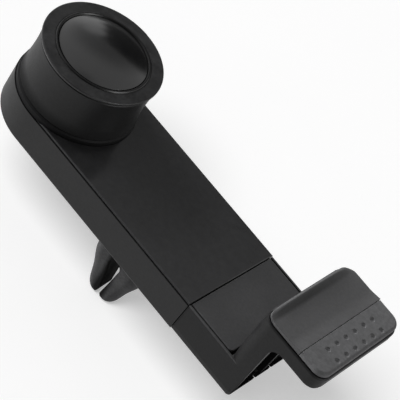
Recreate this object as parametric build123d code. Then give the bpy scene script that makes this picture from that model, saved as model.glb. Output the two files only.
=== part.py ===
from build123d import *
import os

os.makedirs("parts", exist_ok=True)

# The frame: the origin is at the claw's tips on its axis, +Z runs up the claw and out of the phone face,
# and +X runs along the bar from the round post to the sliding jaw. All sizes are in millimetres.

# Overall sizes of the holder
bar_width = 33.0
bar_depth = 10.15
claw_reach = 29.35  # from the claw's tips to the back of the bar
post_offset = 36.3  # from the claw's axis to the round post's axis
mouth_offset = 24.4  # from the claw's axis to the open end that the slider leaves
stroke = 36.0  # how far the jaw pulls out

# Walls and edges of the mouldings
wall = 1.8
floor_thickness = 1.7
plate_thickness = 1.6
plate_inset = 0.5  # from the bar's side to the edge of its front plate
lip_width = 0.2  # the thin lip that stands round the bar's front plate
lip_drop = 0.4  # the lip's top lies this far below the plate's face
back_edge_round = 0.6
plate_edge_round = 0.3

# Clearances
slide_gap = 0.35  # round the sliding tongue
seat_gap = 0.05  # between pieces that turn face to face
shaft_gap = 0.06  # radial, between the stem and its socket
hole_gap = 0.2  # radial, between a screw's shank and the hole it passes
part_gap = 0.15  # the shadow line between neighbouring mouldings

# Round post, the fixed jaw
post_side_step = 0.3  # the post's foot lies this far inside the bar's side
post_height = 16.1  # phone face to the top of the rim
post_seat_depth = 0.3
post_base_thickness = 1.8
post_core_step = 2.3  # from the foot's edge in to the core
post_core_wall = 1.6
rim_side_step = 0.1  # the rim is smaller than the post's foot by this
rim_thickness = 1.1
rim_top_round = 0.25
rim_under_round = 0.75
rim_face_width = 3.35
rim_ledge_width = 2.15
rim_ledge_depth = 0.8  # from the rim's top down to the ledge
rim_ledge_thickness = 1.0
spigot_length = 1.5  # the rim's skirt inside the core
spigot_wall = 1.2
collar_width = 0.9
collar_proud = 0.25
dome_gap = 0.15
dome_edge_height = 0.85
dome_rise = 2.9
dome_wall = 1.4
dome_skirt_depth = 3.2
sleeve_bottom_step = 0.3  # the sleeve's steps in from the foot's edge
sleeve_waist_step = 0.75
sleeve_top_step = 0.45

# Screws that clamp the shell, the front plate and the post together
post_screw_margin = 5.45  # from the foot's edge in to the two outer screws
tongue_screw_gap = 0.8  # between the third screw's pillar and the tongue
post_pillar_radius = 2.8
post_boss_height = 9.0
post_screw_length = 14.0
screw_shank_radius = 1.1
screw_head_radius = 2.0
screw_head_height = 1.1

# Swivel socket in the back of the bar
stem_radius = 4.0
socket_ring_radius = 7.4
socket_ring_height = 1.0
socket_boss_radius = 6.6
socket_boss_height = 0.6
swivel_washer_radius = 6.3
swivel_washer_thickness = 0.8
swivel_head_radius = 4.0
swivel_head_height = 1.6
swivel_shank_radius = 1.5
swivel_screw_depth = 7.0

# Claw sections: share of the prongs' length up from the tips, half the thickness across the slit, half the width
# along it, corner radius
claw_top_drop = 3.85  # from the bar's back down to the top of the prongs
claw_sections = [(0.0, 2.7, 1.5, 1.2), (0.028, 3.7, 2.3, 1.9), (0.12, 4.85, 3.1, 2.4), (0.45, 7.15, 4.4, 3.0),
                 (0.785, 7.65, 5.3, 3.2), (1.0, 7.2, 5.4, 3.2)]
claw_pad_thickness = 1.1
claw_turn = 4.0  # degrees that the claw is turned in its socket
slit_tip_half = 0.5  # half the slit's width at its narrowest
slit_mouth_half = 1.5  # the lead-in at the tips
slit_mouth_height = 2.2
slit_hole_radius = 1.9  # the round hole that ends the slit
slit_hole_drop = 10.1  # from the top of the prongs down to the hole
claw_flange_step = 0.2  # the flange is smaller than the socket's ring by this
claw_flange_round = 0.6
friction_ring_step = 0.6  # from the flange's edge in to the friction ring
friction_ring_width = 1.5
friction_ring_thickness = 0.8
friction_ring_recess = 0.55

# Slider: the tongue in the bar
tongue_side_room = 1.5  # from the bar's inside to the tongue's edge
tongue_web = 1.7
tongue_skirt = 1.5
tongue_inner_end = 31.0  # behind the claw's axis, with the jaw shut
rail_height = 0.3
rail_width = 1.6
peg_radius = 2.0
peg_offset = 17.0  # from the claw's axis to the stop peg
cheek_length = 6.0

# Slider: the head outside the bar
head_step = 0.2  # the head is smaller than the bar by this on each side and at the face
head_back_step = 0.15  # and by this at the back
head_length = 21.15
head_floor = 1.5
head_corner_radius = 1.0
head_end_gap = 1.3  # dark slot between the head's floor and the arm
head_notch_width = 1.5
head_notch_depth = 0.8
head_notch_pitch = 6.2
slider_plate_length = 14.65
slider_plate_inset = 1.05
slider_plate_corner = 1.2
head_lip_width = 0.7  # the frame that shows round the slider's plate
head_lip_round = 0.3
head_lip_drop = 0.1  # the lip's top lies this far below the slider's plate
arm_boss_radius = 2.4
arm_boss_margin = 4.15  # from the head's side in to the screws
arm_screw_places = [5.7, 12.4]  # from the head's inner end
arm_screw_length = 5.2

# Jaw: the arm and its finger tab
arm_root_offset = 15.45  # from the head's inner end to the arm's inner face at the phone face
arm_lean = 1.0  # how far the inner face leans over the phone
arm_lean_height = 7.5
jaw_height = 18.0  # phone face to the top of the tab
tab_thickness = 5.5
tab_length = 20.2  # from the arm's inner face to the tab's outer edge
tab_corner_radius = 3.6
tab_under_round = 1.3
arm_armpit_radius = 3.0
arm_pocket_depth = 3.0  # hollows moulded into the arm's end
arm_pocket_count = 3
arm_rib = 1.4
skin_thickness = 1.8
skin_inset = 0.45
undercut_height = 0.4  # the dark groove under the skin and the insert
undercut_depth = 0.6
roll_crest = 0.95  # from the tab's inner edge to the top of the rolled edge
roll_rise = 0.05  # of the roll above the insert
roll_reach = 3.2  # where the roll has come down to the dished skin
roll_end_drop = 1.45  # the roll comes down by this at both ends
roll_sections = 9  # across the tab
dish_depth = 0.6  # of the skin below the insert
dish_end = 8.2
dish_lip = 0.1  # the skin's edge below the insert
lining_thickness = 1.2
lining_margin = 3.85  # from the arm's side in to the lining
lining_foot = 1.6  # above the phone face
insert_start = 12.05  # from the tab's inner edge
insert_edge_round = 0.8
dimple_radius = 0.72
dimple_depth = 0.35
dimple_rows = [14.8, 18.1]  # from the tab's inner edge
dimple_pitch = 3.55
dimple_count = 6

# Tension springs and their pins
spring_margin = 4.2  # from the tongue's edge in to the springs
fixed_pin_offset = 33.5
moving_pin_offset = 13.5
pin_radius = 0.9
pin_head_radius = 1.5
pin_head_thickness = 0.5
pin_depth = 0.9
spring_radius = 1.7
spring_wire = 0.6
spring_turns = 9
hook_radius = 1.35

# Levels and places that follow from the sizes above
back_z = claw_reach
face_z = back_z + bar_depth
floor_z = back_z + floor_thickness
shelf_z = face_z - plate_thickness
post_x = -post_offset
half_width = bar_width / 2
pocket_half = half_width - wall
tongue_half_width = pocket_half - tongue_side_room
spring_side = tongue_half_width - spring_margin
boss_top_z = floor_z + socket_boss_height
stem_top_z = boss_top_z + seat_gap
washer_top_z = stem_top_z + swivel_washer_thickness
web_top_z = shelf_z - slide_gap
web_bottom_z = web_top_z - tongue_web
skirt_bottom_z = floor_z + rail_height + slide_gap
spring_z = (floor_z + web_bottom_z) / 2
claw_top_z = back_z - claw_top_drop
slit_hole_height = claw_top_z - slit_hole_drop
flange_top_z = back_z - socket_ring_height - friction_ring_thickness + friction_ring_recess - seat_gap
claw_flange_radius = socket_ring_radius - claw_flange_step
friction_ring_outer = claw_flange_radius - friction_ring_step
friction_ring_inner = friction_ring_outer - friction_ring_width
post_radius = half_width - post_side_step
post_core_radius = post_radius - post_core_step
rim_radius = post_radius - rim_side_step
rim_bore = rim_radius - rim_face_width
rim_ledge_radius = rim_bore - rim_ledge_width
collar_inner_radius = rim_bore - collar_width
dome_radius = collar_inner_radius - dome_gap
head_x = mouth_offset + part_gap
head_end_x = head_x + head_length
head_half = half_width - head_step
head_back_z = back_z + head_back_step
head_floor_z = head_back_z + head_floor
head_face_z = face_z - head_step
head_shelf_z = head_face_z - plate_thickness
arm_root_x = head_x + arm_root_offset
jaw_x = arm_root_x - arm_lean
tab_top_z = face_z + jaw_height
skin_z = tab_top_z - skin_thickness
tab_bottom_z = tab_top_z - tab_thickness
tab_end_x = jaw_x + tab_length
rim_top_z = face_z + post_height
rim_bottom_z = rim_top_z - rim_thickness
ledge_z = rim_top_z - rim_ledge_depth
post_foot_z = face_z - post_seat_depth
post_base_z = post_foot_z + post_base_thickness
post_screw_side = (post_radius - post_screw_margin) * 0.5 ** 0.5
post_screw_points = [(post_x - post_screw_side, post_screw_side), (post_x - post_screw_side, -post_screw_side),
                     (-tongue_inner_end - post_pillar_radius - tongue_screw_gap, 0.0)]
arm_screw_side = head_half - arm_boss_margin
arm_screw_points = [(head_x + dx, side * arm_screw_side) for dx in arm_screw_places for side in (-1, 1)]
lining_half_width = head_half - lining_margin


def slab(sketch, low, high):
    """A flat outline raised into a plate between two heights."""
    return Pos(0, 0, low) * extrude(sketch, high - low)


def rod(x, y, radius, low, high):
    """An upright round rod or hole."""
    return slab(Pos(x, y) * Circle(radius), low, high)


def block(x0, x1, y0, y1, z0, z1):
    """A rectangular block between two corners."""
    return Pos((x0 + x1) / 2, (y0 + y1) / 2, (z0 + z1) / 2) * Box(x1 - x0, y1 - y0, z1 - z0)


def turned(points, x=0.0, y=0.0):
    """A solid turned about an upright axis, from (radius, height) points."""
    profile = Plane.XZ * make_face(Polyline(*points, close=True))
    return Pos(x, y) * revolve(profile, Axis.Z)


def side_profile(wires, half):
    """A closed outline in the X-Z plane, drawn out to both sides of it."""
    return extrude(Plane.XZ * make_face(wires), half, both=True)


def top_edges(part, z):
    """The edges that lie in the level plane at z."""
    return part.edges().filter_by(lambda e: abs(e.bounding_box().max.Z - z) < 1e-3
                                  and abs(e.bounding_box().min.Z - z) < 1e-3)


def bar_outline(inset):
    """The bar seen from the front: straight sides, a round end at the post and a square open end."""
    half = half_width - inset
    length = mouth_offset + post_offset
    straight = Pos(mouth_offset - length / 2, 0) * Rectangle(length, 2 * half)
    return straight + Pos(post_x, 0) * Circle(half)


def rounded_outline(x0, x1, half, inner_radius, outer_radius):
    """A rectangle across the bar, with one corner radius at its inner end and one at its outer end."""
    outline = Pos((x0 + x1) / 2, 0) * Rectangle(x1 - x0, 2 * half)
    inner = outline.vertices().filter_by(lambda v: v.X < (x0 + x1) / 2)
    if inner_radius > 0:
        outline = fillet(inner, inner_radius)
    outer = outline.vertices().filter_by(lambda v: abs(v.X - x1) < 1e-6)
    return fillet(outer, outer_radius) if outer_radius > 0 else outline


def screw(x, y, head_z, length, up=1):
    """A countersunk screw: its head's face at head_z and its shank pointing up or down."""
    cone = Pos(0, 0, screw_head_height / 2) * Cone(screw_head_radius, screw_shank_radius, screw_head_height)
    shank = rod(0, 0, screw_shank_radius, screw_head_height, length)
    slot = block(-1.3, 1.3, -0.25, 0.25, -0.01, 0.45)
    cross = slot + block(-0.25, 0.25, -1.3, 1.3, -0.01, 0.45)
    body = cone + shank - cross
    return Pos(x, y, head_z) * (body if up > 0 else Rot(180, 0, 0) * body)


def screw_hole(x, y, head_z, depth):
    """The countersunk hole that such a screw passes, from a face below it."""
    reach = screw_head_radius + hole_gap
    cone = Pos(0, 0, screw_head_height / 2) * Cone(reach, screw_shank_radius + hole_gap, screw_head_height)
    return Pos(x, y, head_z) * (cone + rod(0, 0, screw_shank_radius + hole_gap, -0.01, depth))


def make_back_shell():
    """The tray: back, side walls, round end, swivel socket, screw pillars and slide rails."""
    shell = slab(bar_outline(0), back_z, face_z - lip_drop)
    back_edges = top_edges(shell, back_z).filter_by(lambda e: e.center().X < mouth_offset - 0.01)
    shell = fillet(back_edges, back_edge_round)
    shell -= slab(bar_outline(wall), floor_z, face_z)
    shell -= slab(bar_outline(lip_width), shelf_z, face_z)
    for x, y in post_screw_points:
        shell += rod(x, y, post_pillar_radius, floor_z - 0.1, shelf_z)
    for side in (-1, 1):
        y = side * (tongue_half_width - tongue_skirt / 2)
        shell += block(-tongue_inner_end, mouth_offset, y - rail_width / 2, y + rail_width / 2,
                       floor_z - 0.1, floor_z + rail_height)
        inner, outer = sorted((side * (tongue_half_width + slide_gap), side * (pocket_half + 0.1)))
        shell += block(mouth_offset - cheek_length, mouth_offset, inner, outer, floor_z - 0.1, shelf_z)
        shell -= rod(-fixed_pin_offset, side * spring_side, pin_radius, floor_z - pin_depth, floor_z)
    ring = rod(0, 0, socket_ring_radius, back_z - socket_ring_height, back_z + 0.1)
    shell += fillet(top_edges(ring, back_z - socket_ring_height), 0.4)
    shell += rod(0, 0, socket_boss_radius, floor_z - 0.1, boss_top_z)
    shell -= rod(0, 0, stem_radius + shaft_gap, back_z - socket_ring_height - 0.1, boss_top_z + 0.1)
    for x, y in post_screw_points:
        shell -= screw_hole(x, y, back_z, face_z - back_z)
    return shell


def make_front_plate():
    """The face that the phone lies on, with a shallow round seat for the post and a stop peg under it."""
    plate = slab(bar_outline(plate_inset), shelf_z, face_z)
    plate = fillet(top_edges(plate, face_z), plate_edge_round)
    plate -= rod(post_x, 0, post_radius + 0.15, post_foot_z, face_z + 1)
    for x, y in post_screw_points:
        plate -= rod(x, y, screw_shank_radius + hole_gap, shelf_z - 1, face_z)
    peg = rod(peg_offset, 0, peg_radius, web_bottom_z - 0.2, shelf_z + 0.1)
    return plate + fillet(top_edges(peg, web_bottom_z - 0.2), 0.4)


def make_jaw_post():
    """The round post's core: a cup with a wide foot and three screw bosses."""
    inner = post_core_radius - post_core_wall
    foot_edge = 0.45
    cup = turned([
        (0, post_foot_z), (post_radius, post_foot_z), (post_radius, post_base_z - foot_edge),
        (post_radius - foot_edge, post_base_z), (post_core_radius, post_base_z),
        (post_core_radius, rim_bottom_z), (inner, rim_bottom_z), (inner, post_base_z), (0, post_base_z),
    ], post_x)
    for x, y in post_screw_points:
        cup += rod(x, y, post_pillar_radius, post_base_z - 0.1, post_base_z + post_boss_height)
    for x, y in post_screw_points:
        cup -= rod(x, y, screw_shank_radius, post_foot_z - 0.1, back_z + post_screw_length + 0.3)
    return cup


def make_post_sleeve():
    """The soft waisted sleeve where the phone's edge sits."""
    inner = post_core_radius + seat_gap
    middle = (post_base_z + rim_bottom_z) / 2
    bottom = post_radius - sleeve_bottom_step
    top = post_radius - sleeve_top_step
    waist = ThreePointArc((bottom, post_base_z + 0.3), (post_radius - sleeve_waist_step, middle),
                          (top, rim_bottom_z - 0.3))
    rest = Polyline((top, rim_bottom_z - 0.3), (top - 0.3, rim_bottom_z), (inner, rim_bottom_z),
                    (inner, post_base_z), (bottom - 0.3, post_base_z), (bottom, post_base_z + 0.3))
    return Pos(post_x, 0) * revolve(Plane.XZ * make_face(waist + rest), Axis.Z)


def make_post_rim():
    """The flange at the top of the post, with a spigot in the cup and a ledge for the cap."""
    spigot = post_core_radius - post_core_wall - seat_gap
    ring = turned([
        (rim_ledge_radius, ledge_z - rim_ledge_thickness),
        (spigot - spigot_wall, ledge_z - rim_ledge_thickness),
        (spigot - spigot_wall, rim_bottom_z - spigot_length), (spigot, rim_bottom_z - spigot_length),
        (spigot, rim_bottom_z),
        (rim_radius, rim_bottom_z), (rim_radius, rim_top_z), (rim_bore, rim_top_z), (rim_bore, ledge_z),
        (rim_ledge_radius, ledge_z),
    ], post_x)
    outer = ring.edges().filter_by(GeomType.CIRCLE).filter_by(lambda e: abs(e.radius - rim_radius) < 1e-3)
    ring = fillet(outer.sort_by(Axis.Z)[-1:], rim_top_round)
    outer = ring.edges().filter_by(GeomType.CIRCLE).filter_by(lambda e: abs(e.radius - rim_radius) < 1e-3)
    return fillet(outer.sort_by(Axis.Z)[:1], rim_under_round)


def make_post_collar():
    """The thin bright-edged ring round the dome."""
    top = rim_top_z + collar_proud
    outer = rim_bore - seat_gap
    return turned([
        (collar_inner_radius, ledge_z), (outer, ledge_z), (outer, top - 0.25), (outer - 0.25, top),
        (collar_inner_radius + 0.25, top), (collar_inner_radius, top - 0.25),
    ], post_x)


def make_dome_cap():
    """The domed cap: a shallow dish-shaped shell with a skirt that goes down inside the rim."""
    edge_z = ledge_z + dome_edge_height
    top_z = edge_z + dome_rise
    sphere = (dome_radius ** 2 + dome_rise ** 2) / (2 * dome_rise)
    centre_z = top_z - sphere
    half_r = dome_radius / 2
    inner_r = rim_ledge_radius - seat_gap - dome_wall
    inside = sphere - dome_wall
    inner_z = centre_z + (inside ** 2 - inner_r ** 2) ** 0.5
    crown = ThreePointArc((0, top_z), (half_r, centre_z + (sphere ** 2 - half_r ** 2) ** 0.5),
                          (dome_radius, edge_z))
    under = ThreePointArc((inner_r, inner_z), (inner_r / 2, centre_z + (inside ** 2 - inner_r ** 2 / 4) ** 0.5),
                          (0, top_z - dome_wall))
    skirt = Polyline((dome_radius, edge_z), (dome_radius, ledge_z), (inner_r + dome_wall, ledge_z),
                     (inner_r + dome_wall, ledge_z - dome_skirt_depth), (inner_r, ledge_z - dome_skirt_depth),
                     (inner_r, inner_z))
    axis = Line((0, top_z - dome_wall), (0, top_z))
    return Pos(post_x, 0) * revolve(Plane.XZ * make_face(crown + skirt + under + axis), Axis.Z)


def make_post_screws():
    """Three screws from the back, through the shell and the plate into the post."""
    return [screw(x, y, back_z + 0.15, post_screw_length) for x, y in post_screw_points]


def pin(x, y, low, high, head_up):
    """A short steel pin with a button head that keeps a spring's hook on."""
    head = (high - pin_head_thickness, high) if head_up else (low, low + pin_head_thickness)
    return rod(x, y, pin_radius, low, high) + rod(x, y, pin_head_radius, *head)


def make_fixed_spring_pins():
    """The pins in the shell's floor that hold the springs' still ends."""
    top = spring_z + 1.3
    return [pin(-fixed_pin_offset, side * spring_side, floor_z - pin_depth, top, True) for side in (-1, 1)]


def make_slider_spring_pins():
    """The pins under the tongue that pull the springs' moving ends."""
    low = spring_z - 1.3
    top = web_bottom_z + pin_depth
    return [pin(-moving_pin_offset, side * spring_side, low, top, False) for side in (-1, 1)]


def make_spring(side):
    """A close-wound tension spring, its turns drawn as ridges, with a round hook at each end."""
    hook_reach = hook_radius + spring_wire / 2
    start = -fixed_pin_offset + hook_reach + 0.2
    end = -moving_pin_offset - hook_reach - 0.2
    pitch = (end - start) / spring_turns
    core = spring_radius - spring_wire / 2
    bore = spring_radius - spring_wire
    points = [(start, bore), (start, core)]
    for turn in range(spring_turns):
        points.append((start + (turn + 0.5) * pitch, spring_radius))
        points.append((start + (turn + 1) * pitch, core))
    points.append((end, bore))
    coil = revolve(make_face(Polyline(*points, close=True)), Axis.X)
    wire = spring_wire / 2
    for x, towards in ((-fixed_pin_offset, 1), (-moving_pin_offset, -1)):
        ring = Pos(x, 0) * (Cylinder(hook_reach, spring_wire) - Cylinder(hook_radius - wire, spring_wire))
        edge = start if towards > 0 else end
        inner, outer = sorted((x + towards * hook_radius, edge + towards * wire))
        coil += ring + block(inner, outer, -core, core, -wire, wire)
    return Pos(0, side * spring_side, spring_z) * coil


def claw_block(shrink):
    """The claw's tapered and rounded block, smaller all round by shrink."""
    sections = []
    for share, thick, wide, corner in claw_sections:
        z = share * claw_top_z + shrink * (1 - share)
        outline = RectangleRounded(2 * (thick - shrink), 2 * (wide - shrink), max(corner - shrink, 0.15))
        sections.append(Pos(0, 0, z) * outline)
    return loft(sections)


def claw_slit():
    """The slit that parts the two prongs: a wedge from the tips up to a round hole."""
    reach = claw_top_z
    right = [(slit_hole_radius, slit_hole_height), (slit_tip_half, slit_mouth_height),
             (slit_tip_half + 0.5, slit_mouth_height / 3), (slit_mouth_half, -0.1), (slit_mouth_half, -1)]
    outline = Polyline(*right, *[(-x, z) for x, z in reversed(right)], close=True)
    return side_profile(outline, reach) + Pos(0, 0, slit_hole_height) * Rot(90, 0, 0) * Cylinder(slit_hole_radius,
                                                                                                2 * reach)


def make_claw_core():
    """The claw's hard moulding: stem, flange and two springy prongs."""
    top = claw_top_z
    core = claw_block(claw_pad_thickness) - claw_slit()
    core += turned([
        (0, top - 0.1), (claw_flange_radius - claw_flange_round, top - 0.1),
        (claw_flange_radius, top + claw_flange_round), (claw_flange_radius, flange_top_z - claw_flange_round / 2),
        (claw_flange_radius - claw_flange_round / 2, flange_top_z),
        (friction_ring_outer + seat_gap, flange_top_z),
        (friction_ring_outer + seat_gap, flange_top_z - friction_ring_recess),
        (friction_ring_inner - seat_gap, flange_top_z - friction_ring_recess),
        (friction_ring_inner - seat_gap, flange_top_z), (stem_radius, flange_top_z),
        (stem_radius, stem_top_z), (0, stem_top_z),
    ])
    core -= rod(0, 0, swivel_shank_radius, stem_top_z - swivel_screw_depth - 0.4, stem_top_z + 0.1)
    return Rot(0, 0, claw_turn) * core


def make_claw_pads():
    """The soft sleeves of the two prongs, open at the slit."""
    skin = claw_block(0) - claw_block(claw_pad_thickness - 0.02) - claw_slit()
    top = claw_top_z
    halves = [skin & block(*sorted((0, side * top)), -top, top, -1, top - 0.15) for side in (1, -1)]
    return [Rot(0, 0, claw_turn) * half for half in halves]


def make_friction_ring():
    """The soft ring that makes the swivel turn stiffly."""
    low = flange_top_z - friction_ring_recess
    ring = rod(0, 0, friction_ring_outer, low, low + friction_ring_thickness)
    return ring - rod(0, 0, friction_ring_inner, low - 1, low + friction_ring_thickness + 1)


def make_swivel_washer():
    """The washer that keeps the stem in its socket."""
    washer = rod(0, 0, swivel_washer_radius, stem_top_z, washer_top_z)
    return washer - rod(0, 0, swivel_shank_radius + hole_gap, stem_top_z - 1, washer_top_z + 1)


def make_swivel_screw():
    """The pan-head screw in the end of the stem."""
    head = rod(0, 0, swivel_head_radius, washer_top_z, washer_top_z + swivel_head_height)
    head = fillet(top_edges(head, washer_top_z + swivel_head_height), 0.7)
    top = washer_top_z + swivel_head_height
    cross = block(-2, 2, -0.35, 0.35, top - 0.8, top + 1) + block(-0.35, 0.35, -2, 2, top - 0.8, top + 1)
    shank = rod(0, 0, swivel_shank_radius, stem_top_z - swivel_screw_depth, washer_top_z + 0.1)
    return head + shank - cross


def make_slider_tray():
    """The tongue that runs in the bar and the floor and inner wall of the head, one moulding."""
    inner_x = -tongue_inner_end
    wall_x = head_x + wall
    tray = block(inner_x, wall_x, -tongue_half_width, tongue_half_width, web_bottom_z, web_top_z)
    for side in (-1, 1):
        y0, y1 = sorted((side * tongue_half_width, side * (tongue_half_width - tongue_skirt)))
        tray += block(inner_x, wall_x, y0, y1, skirt_bottom_z, web_bottom_z + 0.1)
        tray -= rod(-moving_pin_offset, side * spring_side, pin_radius, web_bottom_z - 1,
                    web_bottom_z + pin_depth)
    slot_half = peg_radius + slide_gap
    slot = SlotOverall(stroke + 2 * slot_half, 2 * slot_half)
    tray -= slab(Pos(peg_offset - stroke / 2, 0) * slot, web_bottom_z - 1, web_top_z + 1)
    floor = slab(rounded_outline(head_x, head_end_x, head_half, 0, head_corner_radius), head_back_z, head_floor_z)
    back_edges = top_edges(floor, head_back_z).filter_by(lambda e: e.center().X > head_x + 0.01)
    floor = fillet(back_edges, back_edge_round)
    for step in (-1, 0, 1):
        y = step * head_notch_pitch
        floor -= block(head_end_x - head_notch_depth, head_end_x + 1, y - head_notch_width / 2,
                       y + head_notch_width / 2, head_back_z - 1, head_floor_z + 1)
    cheek = head_half - wall - part_gap
    tray += floor + block(head_x, wall_x, -cheek, cheek, head_floor_z - 0.1, head_shelf_z)
    for x, y in arm_screw_points:
        tray -= screw_hole(x, y, head_back_z, head_floor + 1)
    return tray


def jaw_side_wires(inner_shift, bottom_z, top_z):
    """The jaw's outline from the side: the leaning inner face, the tab and the rounded way back down."""
    lean_z = face_z + arm_lean_height
    under = tab_bottom_z
    end = tab_end_x - tab_under_round
    armpit = arm_armpit_radius
    diagonal = 0.5 ** 0.5
    root = arm_root_x + inner_shift
    line = Polyline((head_end_x, under - armpit), (head_end_x, bottom_z), (root, bottom_z), (root, face_z),
                    (jaw_x + inner_shift, lean_z), (jaw_x + inner_shift, top_z), (tab_end_x, top_z),
                    (tab_end_x, under + tab_under_round))
    heel = ThreePointArc((tab_end_x, under + tab_under_round),
                         (end + tab_under_round * diagonal, under + tab_under_round * (1 - diagonal)), (end, under))
    flat = Line((end, under), (head_end_x + armpit, under))
    pit = ThreePointArc((head_end_x + armpit, under),
                        (head_end_x + armpit * (1 - diagonal), under - armpit * (1 - diagonal)),
                        (head_end_x, under - armpit))
    return line + heel + flat + pit


def tab_outline(inset, undercut=0.0):
    """The jaw seen from the front: round corners, and smaller by the undercut on all but its inner edge."""
    reach = inset + undercut
    return rounded_outline(jaw_x + inset, tab_end_x - reach, head_half - reach, tab_corner_radius - reach,
                           tab_corner_radius - reach)


def undercut_tab():
    """The tab's soft top as one block: inset, and cut in more where it meets the arm."""
    groove_z = skin_z + undercut_height
    return slab(tab_outline(skin_inset, undercut_depth), skin_z, groove_z) + \
        slab(tab_outline(skin_inset), groove_z, tab_top_z + roll_reach)


def arm_pockets():
    """The widths of the hollows in the arm's end, parted by ribs."""
    inner_half = head_half - wall
    width = (2 * inner_half - (arm_pocket_count - 1) * arm_rib) / arm_pocket_count
    starts = [number * (width + arm_rib) - inner_half for number in range(arm_pocket_count)]
    return [(start, start + width) for start in starts]


def make_jaw_arm():
    """The head's side walls, the arm that holds the phone's edge and the finger tab, one moulding."""
    arm = side_profile(jaw_side_wires(0, head_floor_z + head_end_gap, skin_z), head_half)
    arm &= slab(tab_outline(0), 0, skin_z)
    arm = fillet(top_edges(arm, skin_z), 0.4)
    lip_z = head_face_z - head_lip_drop
    outline = rounded_outline(head_x, head_end_x, head_half, 0, head_corner_radius)
    box = slab(outline, head_floor_z, lip_z)
    box = fillet(top_edges(box, lip_z).filter_by(lambda e: abs(e.center().Y) > head_half - 0.01), head_lip_round)
    inner_half = head_half - wall
    box -= block(head_x - 1, arm_root_x - 0.6, -inner_half, inner_half, head_floor_z - 1, face_z)
    box -= block(head_x - 1, arm_root_x - part_gap, head_lip_width - head_half, head_half - head_lip_width,
                 head_shelf_z, face_z)
    box -= block(arm_root_x - 1, head_end_x + 1, -inner_half, inner_half, head_floor_z - 1,
                 head_floor_z + head_end_gap)
    for x, y in arm_screw_points:
        bridge = block(x - arm_boss_radius, x + arm_boss_radius, *sorted((y, y / abs(y) * (inner_half + 0.1))),
                       head_floor_z, head_shelf_z)
        box += rod(x, y, arm_boss_radius, head_floor_z, head_shelf_z) + bridge
    jaw = arm + box
    for low, high in arm_pockets():
        jaw -= block(head_end_x - arm_pocket_depth, head_end_x + 1, low, high, head_floor_z + head_end_gap - 0.1,
                     tab_bottom_z - arm_armpit_radius)
    lining = block(jaw_x - 1, arm_root_x + lining_thickness, -lining_half_width, lining_half_width,
                   face_z + lining_foot, skin_z + 1)
    hollow = side_profile(jaw_side_wires(lining_thickness, 0, skin_z + 1), head_half + 1)
    jaw -= lining - hollow
    for x, y in arm_screw_points:
        jaw -= rod(x, y, screw_shank_radius, head_floor_z - 1, head_back_z + arm_screw_length + 0.3)
    return jaw


def make_slider_plate():
    """The front plate of the slider's head."""
    half = head_half - slider_plate_inset
    outline = rounded_outline(head_x, head_x + slider_plate_length, half, 0, slider_plate_corner)
    plate = slab(outline, head_shelf_z, head_face_z)
    return fillet(top_edges(plate, head_face_z), plate_edge_round)


def skin_section(y, crest_z):
    """One section of the tab's soft skin: the rolled edge, the dish behind it and the rise to the insert."""
    start = jaw_x + skin_inset - 0.4
    end = jaw_x + insert_start - part_gap
    dish_z = tab_top_z - dish_depth
    lip_z = tab_top_z - dish_lip
    foot_z = skin_z + undercut_height / 2
    roll = Spline((start, foot_z), (jaw_x + roll_crest, crest_z), (jaw_x + roll_reach, dish_z),
                  tangents=[(0, 1), (1, 0)])
    dish = Line((jaw_x + roll_reach, dish_z), (jaw_x + dish_end, dish_z))
    rise = Spline((jaw_x + dish_end, dish_z), (end, lip_z), tangents=[(1, 0), (1, 0.15)])
    rest = Polyline((end, lip_z), (end, skin_z - 1), (start, skin_z - 1), (start, foot_z))
    return Pos(0, y, 0) * (Plane.XZ * make_face(roll + dish + rise + rest))


def make_jaw_pad():
    """The soft skin of the jaw: the lining of the inner face, its rolled edge and the tab's inner top."""
    sections = []
    for number in range(roll_sections):
        share = 2 * number / (roll_sections - 1) - 1
        crest_z = tab_top_z + roll_rise - roll_end_drop * share ** 4
        sections.append(skin_section(share * (head_half + 0.5), crest_z))
    skin = loft(sections) & undercut_tab()
    foot = face_z + lining_foot
    layer = side_profile(jaw_side_wires(0, 0, skin_z), lining_half_width)
    layer -= side_profile(jaw_side_wires(lining_thickness, 0, skin_z + 1), head_half)
    layer &= block(jaw_x - 1, arm_root_x + lining_thickness, -lining_half_width, lining_half_width, foot, skin_z)
    return skin + layer


def make_tab_insert():
    """The soft insert on the outer half of the tab, with two rows of dimples."""
    start = jaw_x + insert_start
    insert = undercut_tab() & block(start, tab_end_x, -head_half, head_half, skin_z, tab_top_z)
    edges = top_edges(insert, tab_top_z).filter_by(lambda e: e.center().X > start + 0.01)
    insert = fillet(edges, insert_edge_round)
    bowl = (dimple_radius ** 2 + dimple_depth ** 2) / (2 * dimple_depth)
    for row in dimple_rows:
        for column in range(dimple_count):
            y = (column - (dimple_count - 1) / 2) * dimple_pitch
            insert -= Pos(jaw_x + row, y, tab_top_z + bowl - dimple_depth) * Sphere(bowl)
    return insert


def make_arm_screws():
    """Four screws from the back, through the head's floor into the arm moulding."""
    return [screw(x, y, head_back_z + 0.15, arm_screw_length) for x, y in arm_screw_points]


def write(name, piece):
    """Writes one node: a single solid, or a group of like solids."""
    solids = [s for p in (piece if isinstance(piece, list) else [piece]) for s in p.solids()]
    export_step(solids[0] if len(solids) == 1 else Compound(children=solids), f"parts/{name}.step")


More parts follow.
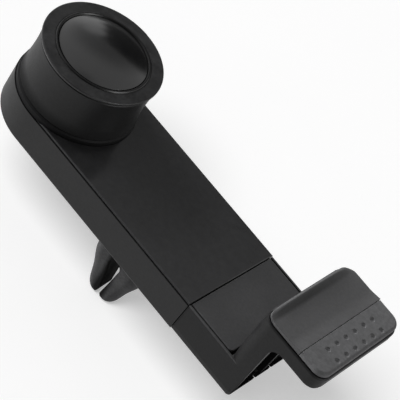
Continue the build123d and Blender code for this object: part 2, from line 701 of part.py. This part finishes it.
write("back_shell", make_back_shell())
write("front_plate", make_front_plate())
write("jaw_post", make_jaw_post())
write("post_sleeve", make_post_sleeve())
write("post_rim", make_post_rim())
write("post_collar", make_post_collar())
write("dome_cap", make_dome_cap())
write("post_screws", make_post_screws())
write("fixed_spring_pins", make_fixed_spring_pins())
write("claw_core", make_claw_core())
for number, pad in enumerate(make_claw_pads(), start=1):
    write(f"claw_pad_{number}", pad)
write("friction_ring", make_friction_ring())
write("swivel_washer", make_swivel_washer())
write("swivel_screw", make_swivel_screw())
write("slider_tray", make_slider_tray())
write("slider_plate", make_slider_plate())
write("jaw_arm", make_jaw_arm())
write("jaw_pad", make_jaw_pad())
write("tab_insert", make_tab_insert())
write("arm_screws", make_arm_screws())
write("slider_spring_pins", make_slider_spring_pins())
write("spring_left", make_spring(1))
write("spring_right", make_spring(-1))
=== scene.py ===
import math
import bpy
import numpy as np
from mathutils import Matrix, Vector


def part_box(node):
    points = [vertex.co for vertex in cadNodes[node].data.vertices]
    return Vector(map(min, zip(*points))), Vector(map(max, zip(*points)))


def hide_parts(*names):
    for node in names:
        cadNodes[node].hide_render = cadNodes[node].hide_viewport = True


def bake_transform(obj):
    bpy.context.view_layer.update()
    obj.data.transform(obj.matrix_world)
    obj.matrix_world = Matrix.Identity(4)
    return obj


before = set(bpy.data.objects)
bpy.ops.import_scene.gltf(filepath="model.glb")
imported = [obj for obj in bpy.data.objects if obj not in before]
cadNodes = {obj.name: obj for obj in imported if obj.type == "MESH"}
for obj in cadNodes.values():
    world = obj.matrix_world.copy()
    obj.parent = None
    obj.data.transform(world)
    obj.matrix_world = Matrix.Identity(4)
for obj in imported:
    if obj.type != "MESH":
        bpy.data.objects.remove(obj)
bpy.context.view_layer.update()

mm = 0.001
print("frame loaded,", len(cadNodes), "nodes")


# the camera stands where the photograph was taken from; places are in metres
cameraView = {
    "place": (0.08965, -0.27320, 0.31271),
    "right": (0.62864, 0.63188, 0.45337),
    "down": (0.74723, -0.32920, -0.57730),
    "forward": (-0.21553, 0.70168, -0.67911),
    "lens": 146.97,
    "sensor": 36.0,
    "nearest": 0.01,
    "farthest": 50,
}


def makeCamera(view):
    right, down, forward = (Vector(view[k]).normalized() for k in ("right", "down", "forward"))
    turn = Matrix((right, -down, -forward)).transposed().to_4x4()
    data = bpy.data.cameras.new("photoCamera")
    data.sensor_fit = "HORIZONTAL"
    data.sensor_width = view["sensor"]
    data.lens = view["lens"]
    data.clip_start = view["nearest"]
    data.clip_end = view["farthest"]
    camera = bpy.data.objects.new("photoCamera", data)
    camera.matrix_world = Matrix.Translation(view["place"]) @ turn
    bpy.context.scene.collection.objects.link(camera)
    bpy.context.scene.camera = camera


makeCamera(cameraView)
print("camera placed")


noiseBand = (0.3, 0.7)  # most of a noise pattern's values lie between these


# small helpers for material nodes; an underscore in a value's name stands for a space in the socket's name
def addNode(tree, kind, settings=None, **values):
    node = tree.nodes.new(kind)
    for name, value in (settings or {}).items():
        setattr(node, name, value)
    for name, value in values.items():
        node.inputs[name.replace("_", " ")].default_value = value
    return node


def pointIn(tree):
    return tree.nodes.new("ShaderNodeTexCoord").outputs["Object"]


def noiseAt(tree, place, size, detail=3.0, roughness=0.55):
    noise = addNode(tree, "ShaderNodeTexNoise", Scale=1.0 / size, Detail=detail, Roughness=roughness)
    tree.links.new(place, noise.inputs["Vector"])
    return noise.outputs["Fac"]


def spread(tree, value, band, toLow, toHigh):  # maps what lies in the band to the other two values
    low, high = band
    ramp = addNode(tree, "ShaderNodeMapRange")
    for name, number in (("From Min", low), ("From Max", high), ("To Min", toLow), ("To Max", toHigh)):
        ramp.inputs[name].default_value = number
    tree.links.new(value, ramp.inputs["Value"])
    return ramp.outputs["Result"]


def combine(tree, how, a, b):
    node = addNode(tree, "ShaderNodeMath", {"operation": how})
    for socket, value in zip(node.inputs, (a, b)):
        if isinstance(value, (int, float)):
            socket.default_value = value
        else:
            tree.links.new(value, socket)
    return node.outputs[0]


def scaleColour(tree, colour, factor):  # sockets 6 and 7 of a mix node are its two colours
    mix = addNode(tree, "ShaderNodeMix", {"data_type": "RGBA", "blend_type": "MULTIPLY"})
    mix.inputs[0].default_value = 1.0
    mix.inputs[6].default_value = (*colour, 1)
    grey = addNode(tree, "ShaderNodeCombineColor")
    for socket in grey.inputs[:3]:
        tree.links.new(factor, socket)
    tree.links.new(grey.outputs[0], mix.inputs[7])
    return mix.outputs[2]


def newMaterial(name):
    material = bpy.data.materials.new(name)
    material.use_nodes = True
    tree = material.node_tree
    shader = tree.nodes["Principled BSDF"]
    return material, tree, shader


# plastics and rubbers: colours are linear, lengths in millimetres
# a painted shade is a band along one axis where the surface is painted darker and duller, for the shade down
# in a slit or a fold, at the sleeve's foot or on a slope turned away from the light
plasticFinishes = {
    "shellPlastic": dict(colour=(0.0066, 0.0066, 0.0068), blotch=9.0, blotchShift=0.16, speckShift=0.20,
                         roughness=0.50, roughnessShift=0.10, grain=0.32, grainDepth=0.020, specular=0.28,
                         edge=0.05),
    "armPlastic": dict(colour=(0.0065, 0.0065, 0.0067), blotch=7.0, blotchShift=0.18, speckShift=0.24,
                       roughness=0.56, roughnessShift=0.10, grain=0.32, grainDepth=0.022, specular=0.22,
                       edge=0.08),
    "postPlastic": dict(colour=(0.0056, 0.0056, 0.0058), blotch=7.0, blotchShift=0.14, speckShift=0.20,
                        roughness=0.72, roughnessShift=0.10, grain=0.32, grainDepth=0.020, specular=0.12,
                        edge=0.03),
    # painted shade for the hollows in the slider's end
    "hollowShadePlastic": dict(colour=(0.0030, 0.0030, 0.0031), blotch=5.0, blotchShift=0.16, speckShift=0.24,
                          roughness=0.85, roughnessShift=0.10, grain=0.32, grainDepth=0.022, specular=0.04,
                          edge=0.03),
    "facePlastic": dict(colour=(0.0190, 0.0190, 0.0196), blotch=14.0, blotchShift=0.12, speckShift=0.14,
                        roughness=0.17, roughnessShift=0.06, grain=0.90, grainDepth=0.004, specular=0.42),
    "sliderPlastic": dict(colour=(0.0330, 0.0330, 0.0339), blotch=14.0, blotchShift=0.12, speckShift=0.14,
                          roughness=0.34, roughnessShift=0.06, grain=0.26, grainDepth=0.008, specular=0.40,
                          edge=0.05),
    "rimPlastic": dict(colour=(0.0100, 0.0100, 0.0103), blotch=3.0, blotchShift=0.24, speckShift=0.34,
                       roughness=0.42, roughnessShift=0.16, grain=0.34, grainDepth=0.034, specular=0.34,
                       edge=0.34),
    "collarGloss": dict(colour=(0.0040, 0.0040, 0.0041), blotch=6.0, blotchShift=0.12, speckShift=0.20,
                        roughness=0.30, roughnessShift=0.08, grain=0.30, grainDepth=0.008, specular=0.26,
                        edge=0.25),
    "domeGloss": dict(colour=(0.0060, 0.0060, 0.0062), blotch=8.0, blotchShift=0.06, speckShift=0.05,
                      roughness=0.17, roughnessShift=0.05, grain=1.40, grainDepth=0.006, specular=0.5),
    # painted shade: the band along X darkens the claw's slit between the prongs
    "clawPlastic": dict(colour=(0.0080, 0.0080, 0.0082), blotch=5.0, blotchShift=0.15, speckShift=0.18,
                        roughness=0.52, roughnessShift=0.08, grain=0.30, grainDepth=0.018, specular=0.30,
                        paintedShade=dict(along="X", start=-1.4, end=1.4, soft=1.2, tone=0.10, dull=0.35)),
    "clawRubber": dict(colour=(0.0290, 0.0290, 0.0299), blotch=5.0, blotchShift=0.15, speckShift=0.24,
                       roughness=0.66, roughnessShift=0.08, grain=0.36, grainDepth=0.024, specular=0.16,
                       paintedShade=dict(along="X", start=-1.4, end=1.4, soft=1.2, tone=0.10, dull=0.30)),
    # painted shade: the band along Z darkens the sleeve's foot, where it meets the bar
    "gripRubber": dict(colour=(0.0066, 0.0066, 0.0068), blotch=7.0, blotchShift=0.14, speckShift=0.16,
                       roughness=0.50, roughnessShift=0.08, grain=0.38, grainDepth=0.012, specular=0.22,
                       paintedShade=dict(along="Z", start=40.0, end=42.0, soft=2.5, tone=0.50, dull=0.30)),
    # painted shade: the band along X darkens the roll's slope that faces away from the light, less towards
    # the far side
    "tabRubber": dict(colour=(0.0380, 0.0380, 0.0391), blotch=7.0, blotchShift=0.10, speckShift=0.14,
                      roughness=0.62, roughnessShift=0.08, grain=0.38, grainDepth=0.022, specular=0.36,
                      sheen=0.10, paintedShade=dict(along="X", start=40.5, end=41.4, soft=0.8, tone=0.36, dull=0.15,
                                             fade=dict(along="Y", start=0.0, end=16.0, left=0.35))),
    "insertRubber": dict(colour=(0.0700, 0.0700, 0.0721), blotch=6.0, blotchShift=0.12, speckShift=0.20,
                         roughness=0.70, roughnessShift=0.08, grain=0.42, grainDepth=0.028, specular=0.34,
                         sheen=0.10),
}

# what all of them share; a finish may have an edge radius of its own
surfaceDetail = {"edge": 0.16, "edgeSamples": 4, "speckSize": 2.2, "bumpStrength": 0.6}


# how much of a painted shade band lies at a point
def paintedShadeShare(tree, place, paintedShade):
    axes = addNode(tree, "ShaderNodeSeparateXYZ")
    tree.links.new(place, axes.inputs[0])
    along = axes.outputs[paintedShade["along"]]
    start, end, soft = (paintedShade[k] * mm for k in ("start", "end", "soft"))
    share = combine(tree, "MULTIPLY", spread(tree, along, (start - soft, start), 0, 1),
                    spread(tree, along, (end, end + soft), 1, 0))
    if "fade" in paintedShade:  # the band weakens towards one end
        fade = paintedShade["fade"]
        fadeBand = (fade["start"] * mm, fade["end"] * mm)
        share = combine(tree, "MULTIPLY", share,
                        spread(tree, axes.outputs[fade["along"]], fadeBand, 1, fade["left"]))
    return share


def mouldedFinish(name, look):
    material, tree, shader = newMaterial(name)
    place = pointIn(tree)
    blotches = noiseAt(tree, place, look["blotch"] * mm, detail=2.5)
    specks = noiseAt(tree, place, look["grain"] * surfaceDetail["speckSize"] * mm, detail=2.0, roughness=0.7)
    grain = noiseAt(tree, place, look["grain"] * mm, detail=3.0, roughness=0.6)
    tone = combine(tree, "MULTIPLY",
                   spread(tree, blotches, noiseBand, 1 - look["blotchShift"], 1 + look["blotchShift"]),
                   spread(tree, specks, noiseBand, 1 - look["speckShift"], 1 + look["speckShift"]))
    dullness, shift = look["roughness"], look["roughnessShift"] / 2
    rough = combine(tree, "ADD",
                    spread(tree, blotches, noiseBand, dullness - shift, dullness + shift),
                    spread(tree, grain, noiseBand, -shift, shift))
    # painted shade: inside the band the colour is darker and the surface duller
    if "paintedShade" in look:
        share = paintedShadeShare(tree, place, look["paintedShade"])
        tone = combine(tree, "MULTIPLY", tone, spread(tree, share, (0, 1), 1, look["paintedShade"]["tone"]))
        rough = combine(tree, "ADD", rough, combine(tree, "MULTIPLY", share, look["paintedShade"]["dull"]))
    tree.links.new(scaleColour(tree, look["colour"], tone), shader.inputs["Base Color"])
    tree.links.new(rough, shader.inputs["Roughness"])
    softEdge = addNode(tree, "ShaderNodeBevel", {"samples": surfaceDetail["edgeSamples"]},
                       Radius=look.get("edge", surfaceDetail["edge"]) * mm)
    bump = addNode(tree, "ShaderNodeBump", Strength=surfaceDetail["bumpStrength"],
                   Distance=look["grainDepth"] * mm)
    tree.links.new(grain, bump.inputs["Height"])
    tree.links.new(softEdge.outputs["Normal"], bump.inputs["Normal"])
    tree.links.new(bump.outputs["Normal"], shader.inputs["Normal"])
    shader.inputs["Specular IOR Level"].default_value = look["specular"]
    shader.inputs["Sheen Weight"].default_value = look.get("sheen", 0.0)
    return material


# the steel of screws, pins and springs, finely streaked
steelStreaks = {"dark": 0.82, "light": 1.12, "smoother": 0.08, "rougher": 0.12, "bumpStrength": 0.5}

steelFinishes = {
    "screwSteel": dict(colour=(0.33, 0.33, 0.34), roughness=0.34, streak=0.5, scratchDepth=0.010),
    "springSteel": dict(colour=(0.46, 0.46, 0.47), roughness=0.28, streak=0.4, scratchDepth=0.006),
}


def steelFinish(name, look):
    material, tree, shader = newMaterial(name)
    place = pointIn(tree)
    streaks = noiseAt(tree, place, look["streak"] * mm, detail=4.0, roughness=0.7)
    tone = spread(tree, streaks, noiseBand, steelStreaks["dark"], steelStreaks["light"])
    tree.links.new(scaleColour(tree, look["colour"], tone), shader.inputs["Base Color"])
    rough = spread(tree, streaks, noiseBand, look["roughness"] - steelStreaks["smoother"],
                   look["roughness"] + steelStreaks["rougher"])
    tree.links.new(rough, shader.inputs["Roughness"])
    bump = addNode(tree, "ShaderNodeBump", Strength=steelStreaks["bumpStrength"],
                   Distance=look["scratchDepth"] * mm)
    tree.links.new(streaks, bump.inputs["Height"])
    tree.links.new(bump.outputs["Normal"], shader.inputs["Normal"])
    shader.inputs["Metallic"].default_value = 1.0
    return material


finishes = {name: mouldedFinish(name, look) for name, look in plasticFinishes.items()}
finishes.update({name: steelFinish(name, look) for name, look in steelFinishes.items()})

# which piece has which finish
nodeFinish = {
    "claw_core": "clawPlastic", "claw_pad_1": "clawRubber", "claw_pad_2": "clawRubber",
    "friction_ring": "clawRubber", "swivel_washer": "screwSteel", "swivel_screw": "screwSteel",
    "back_shell": "shellPlastic", "front_plate": "facePlastic", "post_screws": "screwSteel",
    "jaw_post": "postPlastic", "post_sleeve": "gripRubber", "post_rim": "rimPlastic",
    "post_collar": "collarGloss", "dome_cap": "domeGloss", "fixed_spring_pins": "screwSteel",
    "slider_tray": "shellPlastic", "slider_plate": "sliderPlastic", "jaw_arm": "armPlastic",
    "jaw_pad": "tabRubber", "tab_insert": "insertRubber", "arm_screws": "screwSteel",
    "slider_spring_pins": "screwSteel", "spring_left": "springSteel", "spring_right": "springSteel",
}


def dressNodes():
    for name, finish in nodeFinish.items():
        data = cadNodes[name].data
        data.materials.clear()
        data.materials.append(finishes[finish])
        for polygon in data.polygons:
            polygon.material_index = 0


# faces that get a second finish: lengths in millimetres
# painted shade: the hollows in the slider's end get a near-black finish
paintedHollowShade = {
    "nodes": ("jaw_arm", "slider_tray"),
    "finish": "hollowShadePlastic",
    "depth": 3.4,  # in from the tray's end
    "below": 1.4,  # down from the plate's face
    "inset": 0.5,  # in from the tray's sides
}
plateLip = {"node": "jaw_arm", "beside": "slider_plate", "finish": "sliderPlastic", "reach": 0.4}
facing = 0.5  # a face looks along an axis when this much of its normal does


# the arm's low lip runs round the slider's plate and has its finish
def matchLip(lip):
    data = cadNodes[lip["node"]].data
    slot = len(data.materials)
    data.materials.append(finishes[lip["finish"]])
    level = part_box(lip["beside"])[1].z
    for polygon in data.polygons:
        if polygon.normal.z > facing and abs(polygon.center.z - level) < lip["reach"] * mm:
            polygon.material_index = slot


# painted shade: the hollows in the slider's end are painted near black, for the shade that falls in them
def paintHollowShade(hollows):
    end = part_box("slider_tray")[1].x - hollows["depth"] * mm
    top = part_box("slider_plate")[1].z - hollows["below"] * mm
    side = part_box("slider_tray")[1].y - hollows["inset"] * mm
    for name in hollows["nodes"]:
        data = cadNodes[name].data
        slot = len(data.materials)
        data.materials.append(finishes[hollows["finish"]])
        for polygon in data.polygons:
            middle = polygon.center
            outside = abs(middle.y) > side and abs(polygon.normal.y) > facing
            if middle.x > end and middle.z < top and not outside:
                polygon.material_index = slot


dressNodes()
paintHollowShade(paintedHollowShade)
matchLip(plateLip)
print("finishes on", len(nodeFinish), "nodes")


# wound springs, which stretch as the jaw pulls out: lengths in millimetres, angles in degrees
springWinding = {
    "wireRadius": 0.28,
    "wireSides": 8,
    "turns": 26,
    "stepsPerTurn": 16,
    "radius": 1.4,
    "hookRadius": 1.35,
    "hookSteps": 13,
    "hookStepAngle": 25,
    "stillHookStart": 380,
    "movingHookStart": 160,
    "pinInset": 0.3,  # the node's end to the hook's outer side
    "neck": 0.9,  # the hook to the first turn
}


# a round tube along a path that starts level
def sweepTube(name, path, radius, sides):
    points = np.array(path, float)
    ahead = np.gradient(points, axis=0)
    ahead /= np.linalg.norm(ahead, axis=1)[:, None]
    side = np.cross(ahead[0], (0.0, 0.0, 1.0))
    side /= np.linalg.norm(side)
    vertices, faces = [], []
    for i, (p, t) in enumerate(zip(points, ahead)):
        side = side - (side @ t) * t
        side /= np.linalg.norm(side)
        other = np.cross(t, side)
        for k in range(sides):
            a = 2 * math.pi * k / sides
            vertices.append(p + radius * (math.cos(a) * side + math.sin(a) * other))
        if i:
            for k in range(sides):
                m = (k + 1) % sides
                a, b = (i - 1) * sides, i * sides
                faces.append((a + k, a + m, b + m, b + k))
    faces.append(tuple(range(sides))[::-1])
    last = (len(points) - 1) * sides
    faces.append(tuple(last + k for k in range(sides)))
    mesh = bpy.data.meshes.new(name)
    mesh.from_pydata([tuple(v) for v in vertices], [], faces)
    for polygon in mesh.polygons:
        polygon.use_smooth = True
    mesh.update()
    piece = bpy.data.objects.new(name, mesh)
    bpy.context.scene.collection.objects.link(piece)
    return piece


def hookRound(pinX, middle, start, look):
    hook = look["hookRadius"] * mm
    points = []
    for k in range(look["hookSteps"]):
        a = math.radians(start - look["hookStepAngle"] * k)
        points.append((pinX + hook * math.cos(a), middle.y + hook * math.sin(a), middle.z))
    return points


def windSpring(name, node, look):
    low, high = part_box(node)
    middle = (low + high) / 2
    hook, radius, neck, inset = (look[k] * mm for k in ("hookRadius", "radius", "neck", "pinInset"))
    startPin = low.x + hook + inset
    endPin = high.x - hook - inset
    coilStart, coilEnd = startPin + hook + neck, endPin - hook - neck
    path = hookRound(startPin, middle, look["stillHookStart"], look)
    steps = look["turns"] * look["stepsPerTurn"]
    for k in range(steps + 1):
        a = 2 * math.pi * k / look["stepsPerTurn"]
        x = coilStart + (coilEnd - coilStart) * k / steps
        path.append((x, middle.y + radius * math.cos(a), middle.z + radius * math.sin(a)))
    path += hookRound(endPin, middle, look["movingHookStart"], look)
    piece = sweepTube(name, path, look["wireRadius"] * mm, look["wireSides"])
    piece.data.materials.append(finishes["springSteel"])
    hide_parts(node)
    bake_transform(piece)


windSpring("springLeftWire", "spring_left", springWinding)
windSpring("springRightWire", "spring_right", springWinding)
print("springs wound")


# the pale floor that the claw's tips stand on: lengths in metres
paper = {
    "size": 6.0,
    "below": 0.0002,  # just under the tips
    "colour": (0.80, 0.80, 0.80),
    "mottle": dict(size=0.05, detail=2.0, darkest=0.985),
    "roughness": 0.75,
    "specular": 0.15,
    "lift": 0.365,  # a light of its own, so that it reads as white and its shadows stay pale
    # painted reflection: for mirrored rays the paper is painted dark behind the holder, as if a dark
    # backdrop stood there
    "paintedDarkMirror": dict(start=0.05, end=0.22, tone=0.08),  # its mirrored part goes dark behind the holder
}


def makeFloor(look):
    half = look["size"] / 2
    mesh = bpy.data.meshes.new("floor")
    corners = [(-half, -half, 0), (half, -half, 0), (half, half, 0), (-half, half, 0)]
    mesh.from_pydata(corners, [], [(0, 1, 2, 3)])
    floor = bpy.data.objects.new("floor", mesh)
    floor.location.z = -look["below"]
    bpy.context.scene.collection.objects.link(floor)
    material, tree, shader = newMaterial("floorPaper")
    place = pointIn(tree)
    mottle = noiseAt(tree, place, look["mottle"]["size"], look["mottle"]["detail"])
    path = addNode(tree, "ShaderNodeLightPath")
    axes = addNode(tree, "ShaderNodeSeparateXYZ")
    tree.links.new(place, axes.inputs[0])
    back = look["paintedDarkMirror"]
    # painted reflection: the paper's colour and glow go dark behind the holder for mirrored rays only
    behind = spread(tree, axes.outputs["Y"], (back["start"], back["end"]), 0, 1 - back["tone"])
    paintedMirrorTone = combine(tree, "SUBTRACT", 1.0, combine(tree, "MULTIPLY", behind, path.outputs["Is Glossy Ray"]))
    tone = combine(tree, "MULTIPLY", spread(tree, mottle, noiseBand, look["mottle"]["darkest"], 1.0), paintedMirrorTone)
    tree.links.new(scaleColour(tree, look["colour"], tone), shader.inputs["Base Color"])
    shader.inputs["Roughness"].default_value = look["roughness"]
    shader.inputs["Specular IOR Level"].default_value = look["specular"]
    shader.inputs["Emission Color"].default_value = (1, 1, 1, 1)
    tree.links.new(combine(tree, "MULTIPLY", paintedMirrorTone, look["lift"]), shader.inputs["Emission Strength"])
    mesh.materials.append(material)
    return floor


# the sky: an even light, white where the camera sees it, and for mirrored rays a studio of its own
# a patch's bearing and height are in degrees, and so is how far it reaches from its middle
skyLook = {
    "diffuse": 0.22,
    "white": 0.985,
    "roof": 1.0,  # what is mirrored where no patch is, as in the dome
    "patches": [
        dict(bearing=116, height=38, inner=8, outer=36, light=0.42),  # the grey wall above the back
        dict(bearing=107, height=18, inner=18, outer=27, light=0.03),  # the dark back of the studio
        dict(bearing=-72, height=46, inner=26, outer=46, light=0.06),  # the dark camera
        dict(bearing=129, height=27, inner=4, outer=10, light=1.0),  # a low bright window
        dict(bearing=130, height=14, inner=5, outer=11, light=1.0),
        dict(bearing=130, height=1, inner=5, outer=11, light=1.0),
    ],
}


def bearingVector(bearing, height):
    b, h = math.radians(bearing), math.radians(height)
    return (math.cos(h) * math.cos(b), math.cos(h) * math.sin(b), math.sin(h))


def makeSky(look):
    world = bpy.data.worlds.new("studioSky")
    bpy.context.scene.world = world
    world.use_nodes = True
    tree = world.node_tree
    background = tree.nodes["Background"]
    ahead = tree.nodes.new("ShaderNodeTexCoord").outputs["Generated"]
    mirrored = look["roof"]
    for patch in look["patches"]:  # each patch lies over those before it
        towards = addNode(tree, "ShaderNodeVectorMath", {"operation": "DOT_PRODUCT"})
        tree.links.new(ahead, towards.inputs[0])
        towards.inputs[1].default_value = bearingVector(patch["bearing"], patch["height"])
        share = addNode(tree, "ShaderNodeMapRange", {"interpolation_type": "SMOOTHSTEP"})
        share.inputs["From Min"].default_value = math.cos(math.radians(patch["outer"]))
        share.inputs["From Max"].default_value = math.cos(math.radians(patch["inner"]))
        tree.links.new(towards.outputs["Value"], share.inputs["Value"])
        mix = addNode(tree, "ShaderNodeMix", {"data_type": "FLOAT"})
        tree.links.new(share.outputs["Result"], mix.inputs[0])
        if isinstance(mirrored, float):
            mix.inputs[2].default_value = mirrored
        else:
            tree.links.new(mirrored, mix.inputs[2])
        mix.inputs[3].default_value = patch["light"]
        mirrored = mix.outputs[0]
    path = addNode(tree, "ShaderNodeLightPath")
    seen = combine(tree, "MAXIMUM", path.outputs["Is Camera Ray"], path.outputs["Is Transmission Ray"])
    glossy = path.outputs["Is Glossy Ray"]
    extra = combine(tree, "MULTIPLY", seen, look["white"] - look["diffuse"])
    plain = combine(tree, "ADD", look["diffuse"], extra)
    strength = combine(tree, "ADD", combine(tree, "MULTIPLY", combine(tree, "SUBTRACT", 1.0, glossy), plain),
                       combine(tree, "MULTIPLY", glossy, mirrored))
    background.inputs["Color"].default_value = (1, 1, 1, 1)
    tree.links.new(strength, background.inputs["Strength"])


# the side lamps leave the paper alone, and the paper has an even light of its own: places in metres
lampSet = {
    "keySoftbox": dict(kind="AREA", place=(-0.75, 0.06, 0.31), aim=(0.0, 0.0, 0.03),
                       size=(0.30, 0.30), power=9.6, paper="EXCLUDE"),
    "lowSoftbox": dict(kind="AREA", place=(-0.76, -0.30, 0.11), aim=(0.0, 0.0, 0.02),
                       size=(0.26, 0.18), power=14.0, paper="EXCLUDE"),
    "edgeSoftbox": dict(kind="AREA", place=(0.60, 0.13, 0.52), aim=(-0.03, 0.0, 0.05),
                        size=(0.32, 0.32), power=2.6, paper="EXCLUDE", onlyMirrored=True),
    "roofSoftbox": dict(kind="AREA", place=(-0.05, 0.10, 0.90), aim=(0.0, 0.0, 0.04),
                        size=(0.80, 0.80), power=2.0, paper="EXCLUDE"),
    "paperLight": dict(kind="SUN", place=(-0.12, -0.58, 0.80), aim=(0.0, 0.0, 0.0),
                       spreadAngle=26.0, power=2.16, paper="INCLUDE"),
}


def makeLamps(lamps, floor):
    for name, look in lamps.items():
        data = bpy.data.lights.new(name, look["kind"])
        data.energy = look["power"]
        if look["kind"] == "AREA":
            data.shape = "RECTANGLE"
            data.size, data.size_y = look["size"]
        else:
            data.angle = math.radians(look["spreadAngle"])
        lamp = bpy.data.objects.new(name, data)
        place, aim = Vector(look["place"]), Vector(look["aim"])
        lamp.location = place
        lamp.rotation_euler = (aim - place).to_track_quat("-Z", "Y").to_euler()
        onlyMirrored = look.get("onlyMirrored", False)
        lamp.visible_glossy = onlyMirrored
        lamp.visible_diffuse = not onlyMirrored
        bpy.context.scene.collection.objects.link(lamp)
        lit = bpy.data.collections.new(name + "Paper")  # says whether this lamp lights the paper
        lit.objects.link(floor)
        lit.collection_objects[0].light_linking.link_state = look["paper"]
        lamp.light_linking.receiver_collection = lit


floorPaper = makeFloor(paper)
makeSky(skyLook)
makeLamps(lampSet, floorPaper)
bpy.context.scene.view_settings.view_transform = "Standard"
print("studio lit")
